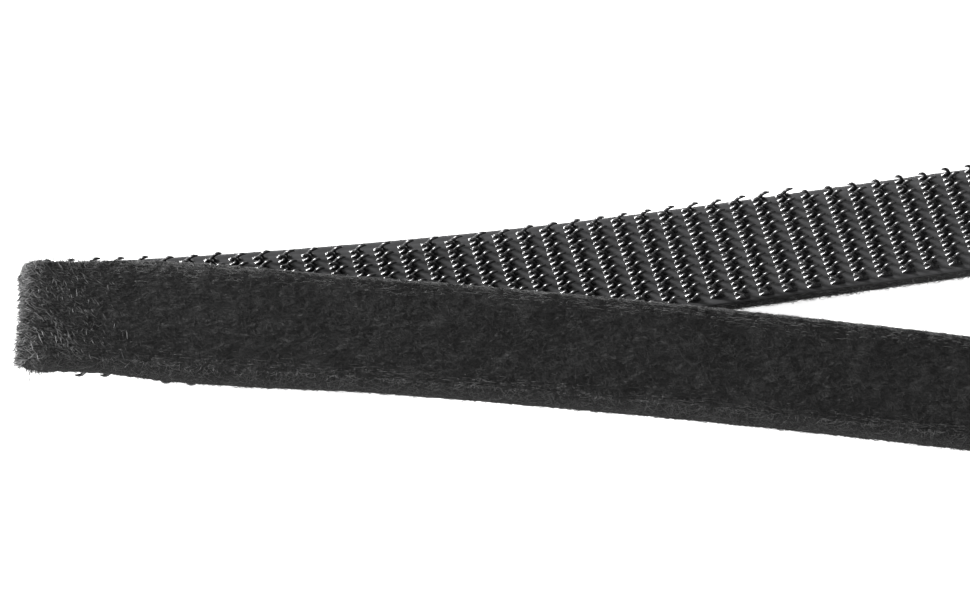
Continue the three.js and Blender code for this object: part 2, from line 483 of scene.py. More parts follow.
    @property
    def fold_length(self) -> float:
        """Length of the fleece round the fold."""
        return self.fold_radius * (math.pi - self.fold_start)

    @property
    def leg_end(self) -> float:
        """Length of the leg, to where the winding lifts off the table."""
        return ROUTE.leg_length + self.roll_radius * math.sin(self.roll_start)

    @property
    def winding_length(self) -> float:
        """Length of the tape in the winding."""
        return 2 * math.pi * ROLL.turns * (self.roll_radius - self.turn_pitch * ROLL.turns / 2)

    @property
    def marks(self) -> dict[str, float]:
        """Where the stretches begin, from the cut end.

        Returns:
            The distances of the fold, the leg, the winding and the core, by name.
        """
        fold = ROUTE.free_length
        leg = fold + self.fold_length
        winding = leg + self.leg_end
        return {"fold": fold, "leg": leg, "winding": winding, "core": winding + self.winding_length}

    def tape(self, d: np.ndarray) -> Stations:
        """The whole tape, at d from its cut end.

        Args:
            d: Distances along the tape in millimetres.

        Returns:
            A station for each distance.
        """
        marks = self.marks
        pieces = [
            (-np.inf, marks["fold"], self.free_end, 0.0),
            (marks["fold"], marks["leg"], self.fold, marks["fold"]),
            (marks["leg"], marks["winding"], self.leg, marks["leg"]),
            (marks["winding"], np.inf, self.winding, marks["winding"]),
        ]
        made = Stations(np.zeros((len(d), 3)), np.zeros((len(d), 3)), np.zeros((len(d), 3)))
        for low, high, stations, start in pieces:
            here = (d >= low) & (d < high)
            if here.any():
                found = stations(d[here] - start)
                made.point[here] = found.point
                made.normal[here] = found.normal
                made.across[here] = found.across
        return made


class Part(Enum):
    """The stretches of the tape, from its cut end to the core."""

    FREE_END = "free_end"
    FOLD = "fold"
    LEG = "leg"
    WINDING = "winding"


@dataclass
class Stretch:
    """One stretch of the tape, between two distances from its cut end."""

    part: Part
    route: Route
    start: float
    end: float
    step: float

    @property
    def length(self) -> float:
        """Length of the stretch."""
        return self.end - self.start

    def stations(self, d: np.ndarray) -> Stations:
        """The tape at d from the start of the stretch."""
        return self.route.tape(self.start + d)

    def spaced(self, step: float) -> np.ndarray:
        """Distances along the stretch, evenly spaced at about a step, ends included."""
        return np.linspace(0, self.length, max(2, round(self.length / step) + 1))

    def put_on_body(self, piece: bpy.types.Object) -> None:
        """Makes a piece move as this stretch does.

        Args:
            piece: The piece, in place in the row frame.
        """
        if self.part is Part.FOLD:
            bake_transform(piece)
        elif self.part is Part.FREE_END:
            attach(piece, Body.FREE_END.value)
        else:
            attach(piece, Body.ROLL.value)


# Colours, nodes and finishes


def linear(hex_colour: str) -> tuple[float, float, float, float]:
    """An sRGB hex colour as a linear colour.

    Args:
        hex_colour: Six hex digits after a hash.

    Returns:
        Red, green, blue and alpha.
    """
    parts = [int(hex_colour[i : i + 2], 16) / 255 for i in (1, 3, 5)]
    made = [c / 12.92 if c <= 0.04045 else ((c + 0.055) / 1.055) ** 2.4 for c in parts]
    return made[0], made[1], made[2], 1.0


def add_node(
    tree: bpy.types.NodeTree, kind: str, inputs: dict | None = None, **settings: object
) -> bpy.types.Node:
    """Adds a node with its settings and links.

    Args:
        tree: The node tree.
        kind: The node's type name.
        inputs: Values, or output sockets to link, by the input's name or number.
        **settings: The node's own properties.

    Returns:
        The new node.
    """
    node = tree.nodes.new(kind)
    for key, value in settings.items():
        setattr(node, key, value)
    for key, value in (inputs or {}).items():
        socket = node.inputs[key]
        if isinstance(value, bpy.types.NodeSocket):
            tree.links.new(value, socket)
        else:
            socket.default_value = value
    return node


def set_ramp(node: bpy.types.Node, stops: list[tuple[float, str]]) -> None:
    """Sets a colour ramp's stops.

    Args:
        node: The ramp.
        stops: Places from 0 to 1 with their hex colours, two or more.
    """
    elements = node.color_ramp.elements
    while len(elements) > len(stops):
        elements.remove(elements[-1])
    while len(elements) < len(stops):
        elements.new(1.0)
    for element, (place, colour) in zip(elements, stops):
        element.position = place
        element.color = linear(colour)


def new_material(name: str) -> tuple[bpy.types.Material, bpy.types.NodeTree, bpy.types.Node]:
    """A material with a Principled shader.

    Args:
        name: The material's name.

    Returns:
        The material, its tree and its shader node.
    """
    material = bpy.data.materials.new(name)
    material.use_nodes = True
    tree = material.node_tree
    return material, tree, tree.nodes["Principled BSDF"]


def per_metre(size_mm: float) -> float:
    """A texture scale whose pattern repeats at about a size in millimetres."""
    return 1 / (size_mm * MM)


# Gives the eye a soft black without any glint, mottled a little lighter and darker by noise.
@dataclass(frozen=True)
class BrushedLoopPile:
    """Knitted nylon with its loops brushed up and matted: soft and matte, mottled by noise at the size of
    tufts and flecks.

    Real filaments are about 0.02 mm thick, too fine to show, so the relief's fibres are drawn 0.12 mm apart.
    """

    dark: str = "#272727"
    middle: str = "#2d2d2d"
    light: str = "#343434"
    tuft_mm: float = 0.9
    fleck_mm: float = 0.35
    fibre_mm: float = 0.12
    roughness: float = 0.95

    def material(self) -> bpy.types.Material:
        """Builds the material.

        Returns:
            The material.
        """
        made, tree, shader = new_material("brushed_loop_pile")
        place = add_node(tree, "ShaderNodeTexCoord").outputs["Object"]
        tuft = add_node(
            tree, "ShaderNodeTexNoise",
            {"Vector": place, "Scale": per_metre(self.tuft_mm), "Detail": 4.0, "Roughness": 0.6},
        )
        fleck = add_node(
            tree, "ShaderNodeTexNoise",
            {"Vector": place, "Scale": per_metre(self.fleck_mm), "Detail": 2.0, "Distortion": 1.2},
        )
        both = add_node(
            tree, "ShaderNodeMix", {0: 0.45, 2: tuft.outputs["Fac"], 3: fleck.outputs["Fac"]}
        )
        ramp = add_node(tree, "ShaderNodeValToRGB", {"Fac": both.outputs[0]})
        set_ramp(ramp, [(0.38, self.dark), (0.52, self.middle), (0.7, self.light)])
        tree.links.new(ramp.outputs["Color"], shader.inputs["Base Color"])
        fibre = add_node(
            tree, "ShaderNodeTexNoise",
            {"Vector": place, "Scale": per_metre(self.fibre_mm), "Detail": 3.0, "Distortion": 2.0},
        )
        bump = add_node(
            tree, "ShaderNodeBump",
            {"Strength": 0.6, "Distance": 0.08 * MM, "Height": fibre.outputs["Fac"]},
        )
        tree.links.new(bump.outputs["Normal"], shader.inputs["Normal"])
        shader.inputs["Roughness"].default_value = self.roughness
        shader.inputs["Specular IOR Level"].default_value = 0.15
        return made


# Gives the eye single hairs, each a shade of its own, that glow a little against the light.
@dataclass(frozen=True)
class NylonFibre:
    """Dull black nylon filament: charcoal, evened out by the light that passes through it."""

    name: str = "nylon_fibre"
    dark: str = "#333333"
    light: str = "#3e3e3e"
    spread_mm: float = 1.6
    roughness: float = 0.85
    shine: float = 0.08
    glow: float = 0.55

    def material(self) -> bpy.types.Material:
        """Builds the material.

        Returns:
            The material.
        """
        made, tree, shader = new_material(self.name)
        place = add_node(tree, "ShaderNodeTexCoord").outputs["Object"]
        patch = add_node(
            tree, "ShaderNodeTexNoise",
            {"Vector": place, "Scale": per_metre(self.spread_mm), "Detail": 5.0, "Roughness": 0.7},
        )
        strand = add_node(tree, "ShaderNodeNewGeometry").outputs["Random Per Island"]
        both = add_node(tree, "ShaderNodeMix", {0: 0.7, 2: patch.outputs["Fac"], 3: strand})
        ramp = add_node(tree, "ShaderNodeValToRGB", {"Fac": both.outputs[0]})
        set_ramp(ramp, [(0.25, self.dark), (0.75, self.light)])
        tree.links.new(ramp.outputs["Color"], shader.inputs["Base Color"])
        shader.inputs["Roughness"].default_value = self.roughness
        shader.inputs["Specular IOR Level"].default_value = self.shine
        through = add_node(tree, "ShaderNodeBsdfTranslucent", {"Color": ramp.outputs["Color"]})
        mixed = add_node(
            tree, "ShaderNodeMixShader", {0: self.glow, 1: shader.outputs[0], 2: through.outputs[0]}
        )
        tree.links.new(mixed.outputs[0], tree.nodes["Material Output"].inputs["Surface"])
        return made


# Gives the eye a deep black with small sharp glints on edges and bends.
@dataclass(frozen=True)
class MouldedHookNylon:
    """Black polyamide moulded in steel tooling: glossy, with fine drag lines along the tape."""

    name: str = "moulded_hook_nylon_painted_shade"
    # These default tones are painted shade: darker than the ribbon that the hooks are moulded with, so the
    # hooks read as the shade between rows.
    dark: str = "#161617"
    light: str = "#202021"
    drag_mm: float = 0.08
    cloud_mm: float = 1.5
    roughness: float = 0.33

    def material(self) -> bpy.types.Material:
        """Builds the material.

        Returns:
            The material.
        """
        made, tree, shader = new_material(self.name)
        place = add_node(tree, "ShaderNodeTexCoord").outputs["Object"]
        cloud = add_node(
            tree, "ShaderNodeTexNoise",
            {"Vector": place, "Scale": per_metre(self.cloud_mm), "Detail": 3.0},
        )
        ramp = add_node(tree, "ShaderNodeValToRGB", {"Fac": cloud.outputs["Fac"]})
        set_ramp(ramp, [(0.3, self.dark), (0.7, self.light)])
        tree.links.new(ramp.outputs["Color"], shader.inputs["Base Color"])
        stretched = add_node(
            tree, "ShaderNodeMapping", {"Vector": place, "Scale": (0.06, 1.0, 1.0)}
        )
        drag = add_node(
            tree, "ShaderNodeTexNoise",
            {"Vector": stretched.outputs[0], "Scale": per_metre(self.drag_mm), "Detail": 2.0},
        )
        bump = add_node(
            tree, "ShaderNodeBump",
            {"Strength": 0.35, "Distance": 0.02 * MM, "Height": drag.outputs["Fac"]},
        )
        tree.links.new(bump.outputs["Normal"], shader.inputs["Normal"])
        shader.inputs["Roughness"].default_value = self.roughness
        shader.inputs["IOR"].default_value = 1.53
        return made


# Gives the eye a thin darker line between the two faces of the tape.
@dataclass(frozen=True)
class HotMeltFilm:
    """Black hot-melt adhesive pressed between the layers: a dull, slightly wavy dark line at the edges."""

    dark: str = "#0d0d0e"
    light: str = "#1a1a1b"
    ripple_mm: float = 0.6
    roughness: float = 0.5

    def material(self) -> bpy.types.Material:
        """Builds the material.

        Returns:
            The material.
        """
        made, tree, shader = new_material("hot_melt_film")
        place = add_node(tree, "ShaderNodeTexCoord").outputs["Object"]
        ripple = add_node(
            tree, "ShaderNodeTexNoise",
            {"Vector": place, "Scale": per_metre(self.ripple_mm), "Detail": 2.0},
        )
        ramp = add_node(tree, "ShaderNodeValToRGB", {"Fac": ripple.outputs["Fac"]})
        set_ramp(ramp, [(0.3, self.dark), (0.7, self.light)])
        tree.links.new(ramp.outputs["Color"], shader.inputs["Base Color"])
        bump = add_node(
            tree, "ShaderNodeBump",
            {"Strength": 0.3, "Distance": 0.03 * MM, "Height": ripple.outputs["Fac"]},
        )
        tree.links.new(bump.outputs["Normal"], shader.inputs["Normal"])
        shader.inputs["Roughness"].default_value = self.roughness
        return made


# Gives the eye a warm matte brown, with rings on the cut ends and a seam inside the bore.
@dataclass(frozen=True)
class KraftPaperboard:
    """Brown kraft board wound in plies: matte, with fibres, a helical seam and ply lines on the cut ends."""

    dark: str = "#8a6238"
    light: str = "#b98d5c"
    seam: str = "#5f4023"
    fibre_mm: float = 0.5
    ply_mm: float = 0.45
    seam_pitch_mm: float = 34.0
    seam_mm: float = 0.35
    roughness: float = 0.88

    def material(self, centre: Vector) -> bpy.types.Material:
        """Builds the material.

        Args:
            centre: The core's centre in metres, which the plies and the seam go round.

        Returns:
            The material.
        """
        made, tree, shader = new_material("kraft_paperboard")

        def maths(operation: str, *values: object) -> bpy.types.NodeSocket:
            """One arithmetic step."""
            node = add_node(tree, "ShaderNodeMath", dict(enumerate(values)), operation=operation)
            return node.outputs[0]

        place = add_node(tree, "ShaderNodeTexCoord").outputs["Object"]
        parts = add_node(tree, "ShaderNodeSeparateXYZ", {0: place}).outputs
        x = maths("SUBTRACT", parts[0], centre.x)
        z = maths("SUBTRACT", parts[2], centre.z)
        radius = maths("SQRT", maths("ADD", maths("MULTIPLY", x, x), maths("MULTIPLY", z, z)))
        round_share = maths("DIVIDE", maths("ARCTAN2", z, x), 2 * math.pi)
        along = maths("DIVIDE", parts[1], self.seam_pitch_mm * MM)
        seam_place = maths("PINGPONG", maths("ADD", round_share, along), 0.5)
        seam_share = self.seam_mm / (math.pi * ROLL.bore)
        seam = maths("LESS_THAN", seam_place, seam_share)
        ply_wave = maths("SINE", maths("MULTIPLY", radius, 2 * math.pi * per_metre(self.ply_mm)))
        fibre = add_node(
            tree, "ShaderNodeTexNoise",
            {"Vector": place, "Scale": per_metre(self.fibre_mm), "Detail": 6.0, "Roughness": 0.65},
        )
        shade = maths("ADD", fibre.outputs["Fac"], maths("MULTIPLY", ply_wave, 0.12))
        ramp = add_node(tree, "ShaderNodeValToRGB", {"Fac": shade})
        set_ramp(ramp, [(0.3, self.dark), (0.7, self.light)])
        colour = add_node(
            tree, "ShaderNodeMix",
            {0: seam, 6: ramp.outputs["Color"], 7: linear(self.seam)}, data_type="RGBA",
        )
        tree.links.new(colour.outputs[2], shader.inputs["Base Color"])
        bump = add_node(
            tree, "ShaderNodeBump", {"Strength": 0.5, "Distance": 0.08 * MM, "Height": shade}
        )
        tree.links.new(bump.outputs["Normal"], shader.inputs["Normal"])
        shader.inputs["Roughness"].default_value = self.roughness
        shader.inputs["Specular IOR Level"].default_value = 0.25
        return made


# Meshes


def make_object(
    name: str, points_mm: np.ndarray, faces: list[np.ndarray], material: bpy.types.Material
) -> bpy.types.Object:
    """A mesh object from points in millimetres in the row frame.

    Args:
        name: The object's name.
        points_mm: The vertices, one row each.
        faces: Faces as arrays of vertex numbers, each array of faces with one number of corners.
        material: The finish.

    Returns:
        The linked object.
    """
    mesh = bpy.data.meshes.new(name)
    corners = np.concatenate([f.reshape(-1) for f in faces]).astype(np.int32)
    sizes = np.concatenate([np.full(len(f), f.shape[1]) for f in faces]).astype(np.int32)
    starts = np.concatenate([[0], np.cumsum(sizes)[:-1]]).astype(np.int32)
    mesh.vertices.add(len(points_mm))
    mesh.vertices.foreach_set("co", (points_mm * MM).astype(np.float32).reshape(-1))
    mesh.loops.add(len(corners))
    mesh.loops.foreach_set("vertex_index", corners)
    mesh.polygons.add(len(sizes))
    mesh.polygons.foreach_set("loop_start", starts)
    mesh.polygons.foreach_set("loop_total", sizes)
    mesh.polygons.foreach_set("use_smooth", np.ones(len(sizes), bool))
    mesh.update(calc_edges=True)
    mesh.validate()
    mesh.set_sharp_from_angle(angle=SHARP_ANGLE)
    mesh.materials.append(material)
    made = bpy.data.objects.new(name, mesh)
    bpy.context.scene.collection.objects.link(made)
    return made


def stack2(a: np.ndarray, b: np.ndarray) -> np.ndarray:
    """Two columns as rows of pairs."""
    return np.stack([a, b], axis=1)


def ring_faces(rings: int, sides: int) -> np.ndarray:
    """Quads that join rings of points, each closed on itself.

    Args:
        rings: How many rings there are.
        sides: Points in a ring.

    Returns:
        The quads as vertex numbers, one row each.
    """
    ring = np.arange(rings - 1)[:, None] * sides
    here = np.arange(sides)[None, :]
    after = (here + 1) % sides
    quads = np.stack([ring + here, ring + after, ring + sides + after, ring + sides + here], axis=2)
    return quads.reshape(-1, 4)


def value_noise(u: np.ndarray, v: np.ndarray, cell: float, seed: int) -> np.ndarray:
    """Smooth noise from -1 to 1 over a surface.

    Args:
        u: Distances one way, in millimetres.
        v: Distances the other way.
        cell: Size of the noise in millimetres.
        seed: Seed of the noise.

    Returns:
        The noise at each point.
    """
    table = np.random.default_rng(seed).uniform(-1, 1, (NOISE_CELLS, NOISE_CELLS))
    a, b = u / cell + NOISE_SHIFT, v / cell + NOISE_SHIFT
    i, j = np.floor(a).astype(int), np.floor(b).astype(int)
    s, t = smooth(a - i), smooth(b - j)

    def corner(di: int, dj: int) -> np.ndarray:
        """The table's values at one corner of each point's cell."""
        return table[(i + di) % NOISE_CELLS, (j + dj) % NOISE_CELLS]

    low = corner(0, 0) * (1 - s) + corner(1, 0) * s
    high = corner(0, 1) * (1 - s) + corner(1, 1) * s
    return low * (1 - t) + high * t


def pile_depth(place: np.ndarray, side: np.ndarray) -> np.ndarray:
    """How far the pile's ground lies inside the fabric's outer face.

    Args:
        place: Distances from the cut end, in millimetres.
        side: Distances across.

    Returns:
        The depth at each point, in millimetres.
    """
    tufts = value_noise(place, side, PILE.tuft, 11)
    flecks = value_noise(place, side, PILE.fleck, 12)
    return PILE.lump * (1 + (tufts + PILE.fleck_share * flecks))


def pile_edge(height: np.ndarray) -> np.ndarray:
    """How far across the pile's rounded edge stands.

    Args:
        height: Heights above the outer face, in millimetres.

    Returns:
        Distances from the tape's middle.
    """
    share = height / (TAPE.fabric + PILE.skirt)
    bulge = PILE.bulge * np.sin(np.clip(share * PILE.bulge_full, 0, 1) * math.pi / 2)
    tuck = PILE.tuck * np.clip((share - 1) / PILE.tuck_share + 1, 0, 1)
    return TAPE.width / 2 + bulge - PILE.corner * (1 - share) ** 3 - tuck


@dataclass
class Layers:
    """Meshes of the tape's three layers along a stretch."""

    stretch: Stretch

    def sweep(
        self, name: str, section: np.ndarray, lumpy: bool, material: bpy.types.Material
    ) -> bpy.types.Object:
        """A closed strip with a section drawn in distances across and heights.

        Args:
            name: The piece's name.
            section: The section's points, anticlockwise as seen towards the core.
            lumpy: Whether its outer face is uneven, as pile is.
            material: The finish.

        Returns:
            The strip.
        """
        d = self.stretch.spaced(self.stretch.step)
        count = len(section)
        many = np.repeat(d, count)
        side = np.tile(section[:, 0], len(d))
        height = np.tile(section[:, 1], len(d))
        if lumpy:
            outer = np.clip(1 - height / (TAPE.fabric * PILE.lumpy_share), 0, 1)
            place = many + self.stretch.start
            ragged = value_noise(place, height, PILE.ragged, 13) * PILE.lump
            height = height + outer * pile_depth(place, side)
            side = side + np.sign(side) * ragged * (np.abs(side) > TAPE.width / 2 + PILE.ragged_from)
            lining = np.isclose(np.abs(side), TAPE.width / 2 + PILE.skirt_gap)
            side = side + PILE.splay(place, side) * ~lining
        points = self.stretch.stations(many).place(height, side)
        first = np.arange(count)[None, ::-1]
        last = np.arange(count)[None, :] + (len(d) - 1) * count
        return make_object(name, points, [ring_faces(len(d), count), first, last], material)

    def fabric(self, material: bpy.types.Material) -> bpy.types.Object:
        """The loop fabric under its fibres: a lumpy face, and edges that bulge past the ribbon's.

        Args:
            material: The finish.

        Returns:
            The fabric.
        """
        rim, inside = TAPE.fabric + PILE.skirt, TAPE.width / 2 + PILE.skirt_gap
        height = np.array([0.0, 0.04, 0.12, 0.25, 0.42, 0.6, 0.78, 0.92, 1.0]) * rim
        edge = np.concatenate([stack2(pile_edge(height), height), [[inside, rim], [inside, TAPE.fabric]]])
        left = edge[::-1] * np.array([-1, 1])
        face = np.linspace(left[-1, 0], edge[0, 0], 34)[1:-1]
        bottom = stack2(face, np.zeros_like(face))
        section = np.concatenate([left, bottom, edge])
        return self.sweep(f"loop_fabric_{self.stretch.part.value}_pile", section[::-1], True, material)

    def film(self, material: bpy.types.Material) -> bpy.types.Object:
        """The bonding film, a little narrower than the layers that it joins.

        Args:
            material: The finish.

        Returns:
            The film.
        """
        half = TAPE.width / 2 - TAPE.film_inset
        section = np.array([
            [half, TAPE.film_face], [-half, TAPE.film_face],
            [-half, TAPE.ribbon_face], [half, TAPE.ribbon_face],
        ])
        return self.sweep(f"bond_film_{self.stretch.part.value}_sheet", section, False, material)

    def ribbon(self, material: bpy.types.Material) -> bpy.types.Object:
        """The hook ribbon, with a low rail under each lane of hooks.

        Args:
            material: The finish.

        Returns:
            The ribbon.
        """
        half, rail = TAPE.width / 2, HOOK.rail
        edge = TAPE.hook_face - rail - TAPE.ribbon_edge
        lanes = round(TAPE.width / HOOK.lane_pitch)
        middle = (np.arange(lanes) - (lanes - 1) / 2) * HOOK.lane_pitch
        steps = np.array([
            [-HOOK.rail_foot, -rail], [-HOOK.rail_top, 0.0], [HOOK.rail_top, 0.0], [HOOK.rail_foot, -rail]
        ])
        top = middle[::-1, None, None] * np.array([1, 0]) + steps[::-1] + np.array([0, TAPE.hook_face])
        section = np.concatenate([
            [[half, edge]],
            top.reshape(-1, 2),
            [[-half, edge], [-half, TAPE.ribbon_face], [half, TAPE.ribbon_face]],
        ])
        return self.sweep(f"hook_ribbon_{self.stretch.part.value}_base", section[::-1], False, material)


def bezier(points: list[tuple[float, float]], count: int) -> np.ndarray:
    """Points along a cubic curve, without its last one.

    Args:
        points: The curve's start, its two handles and its end.
        count: How many points.

    Returns:
        The points, one row each.
    """
    t = np.linspace(0, 1, count + 1)[:-1, None]
    a, b, c, d = (np.array(p) for p in points)
    return (1 - t) ** 3 * a + 3 * t * (1 - t) ** 2 * b + 3 * t * t * (1 - t) * c + t**3 * d


@dataclass
class HookField:
    """J hooks in rows across the tape, the lanes bent to one side and the other in turn."""

    stretch: Stretch
    room: Callable[[np.ndarray, np.ndarray], np.ndarray]
    seed: int
    fine: bool = True

    def outline(self) -> np.ndarray:
        """The hook's outline seen across the tape, clockwise from its back foot.

        Returns:
            Its points, along the tape and up, one row each.
        """
        h, waist, foot = HOOK.height, HOOK.neck_height, HOOK.shoulder_height
        left, right = (-HOOK.shoulder, foot), (HOOK.shoulder, foot)
        root, front = (HOOK.neck_back, foot + 0.11), (HOOK.neck_front, waist)
        brow, crest, tip = (HOOK.brow, HOOK.brow_height), (HOOK.crest, h), (HOOK.tip, h - HOOK.tip_drop)
        chin = (brow[0] - HOOK.brow_length, brow[1] - HOOK.brow_length * 0.76)
        throat = (HOOK.throat, h - HOOK.throat_drop)
        n = (3, 5, 4, 3, 3, 4, 4) if self.fine else (1, 1, 1, 2, 1, 1, 1)
        return np.concatenate([
            [(-HOOK.heel, -HOOK.sink)],
            bezier([left, (left[0] + 0.08, foot + 0.05), (root[0] - 0.05, root[1] - 0.06), root], n[0]),
            bezier([root, (root[0] + 0.07, root[1] + 0.13), (chin[0] - 0.07, chin[1] - 0.1), chin], n[1]),
            [chin],
            bezier([brow, (brow[0] + 0.09, brow[1] + 0.06), (crest[0] - 0.12, h), crest], n[2]),
            bezier([crest, (crest[0] + 0.14, h - 0.01), (tip[0] - 0.01, tip[1] + 0.1), tip], n[3]),
            bezier([tip, (tip[0] - 0.06, tip[1] - 0.06), (throat[0] + 0.1, throat[1] + 0.06), throat], n[4]),
            bezier([throat, (throat[0] - 0.12, throat[1] - 0.05), (front[0], waist + 0.1), front], n[5]),
            bezier([front, (front[0], waist - 0.12), (right[0] - 0.12, foot + 0.04), right], n[6]),
            [right, (HOOK.toe, -HOOK.sink)],
        ])

    def unit(self) -> tuple[np.ndarray, list[np.ndarray]]:
        """One hook at the origin: along, across and up.

        Returns:
            Its points, and its faces as arrays of vertex numbers.
        """
        outline = self.outline()
        count = len(outline)
        ahead = np.roll(outline, -1, axis=0) - np.roll(outline, 1, axis=0)
        normal = stack2(-ahead[:, 1], ahead[:, 0])
        normal /= np.linalg.norm(normal, axis=1)[:, None]
        half, bevel = HOOK.thickness / 2, HOOK.bevel
        if not self.fine:
            rings = [(-half, 0.0), (half, 0.0)]
        else:
            inset = bevel * HOOK.bevel_share
            rings = [(-half, inset), (-half + bevel, 0.0), (half - bevel, 0.0), (half, inset)]
        to_tip = (outline[:, 0] - HOOK.neck_front) / (HOOK.tip - HOOK.neck_front)
        narrow = 1 - HOOK.tip_taper * smooth(to_tip)
        points = np.concatenate([
            stack(*(outline - normal * inset).T, y * narrow)[:, [0, 2, 1]] for y, inset in rings
        ])
        caps = [np.arange(count)[None, ::-1], np.arange(count)[None, :] + (len(rings) - 1) * count]
        return points, [ring_faces(len(rings), count), *caps]

    def build(self, name: str, lanes: np.ndarray, material: bpy.types.Material) -> bpy.types.Object:
        """Every hook of some lanes as one mesh.

        Args:
            name: The piece's name.
            lanes: Numbers of the lanes, from 0 at the near edge.
            material: The finish.

        Returns:
            The mesh.
        """
        rng = np.random.default_rng(self.seed)
        unit, faces = self.unit()
        rows = np.arange(HOOK.row_pitch / 2, self.stretch.length - HOOK.tip * HOOK.end_share, HOOK.row_pitch)
        d, lane = (a.reshape(-1) for a in np.meshgrid(rows, lanes, indexing="ij"))
        on_leg = d + self.stretch.start - self.stretch.route.marks["leg"]
        side = (lane - (HOOK.lanes - 1) / 2) * HOOK.lane_pitch + HOOK.lane_shift(on_leg)
        room = self.room(d, side)
        near, far = side + TAPE.width / 2, TAPE.width / 2 - side
        slipped = (on_leg < 0) & (-on_leg < HOOK.slip_shown)
        unslipped_room = np.where(on_leg < 0, HOOK.free_room, HOOK.near_room)
        near_room = np.where(slipped, HOOK.slipped_room, unslipped_room)
        kept = (near > near_room) & (far > HOOK.far_room) & (room > HOOK.least_share * HOOK.height)
        if not self.fine:
            kept &= np.minimum(near, far) < 2 * HOOK.lane_pitch
        d, lane, room, side = d[kept], lane[kept], room[kept], side[kept]
        bent = np.where(lane % 2 == 1, 1.0, -1.0)
        tall = np.minimum(1.0, room / HOOK.height) * rng.uniform(*HOOK.tall_range, len(d))
        reach = rng.uniform(*HOOK.reach_range, len(d))
        sway = rng.normal(0, HOOK.sway, len(d))
        st = self.stretch.stations(d)
        base = st.place(np.full_like(d, TAPE.hook_face), side)
        along = st.along()
        up = unit[None, :, 2] * tall[:, None]
        out = unit[None, :, 0] * (reach * bent)[:, None]
        cross = unit[None, :, 1] * bent[:, None] + up * sway[:, None]
        points = (
            base[:, None, :]
            + along[:, None, :] * out[:, :, None]
            + st.across[:, None, :] * cross[:, :, None]
            + st.normal[:, None, :] * up[:, :, None]
        )
        count = len(unit)
        shift = (np.arange(len(d)) * count)[:, None, None]
        all_faces = [(f[None] + shift).reshape(-1, f.shape[1]) for f in faces]
        return make_object(name, points.reshape(-1, 3), all_faces, material)


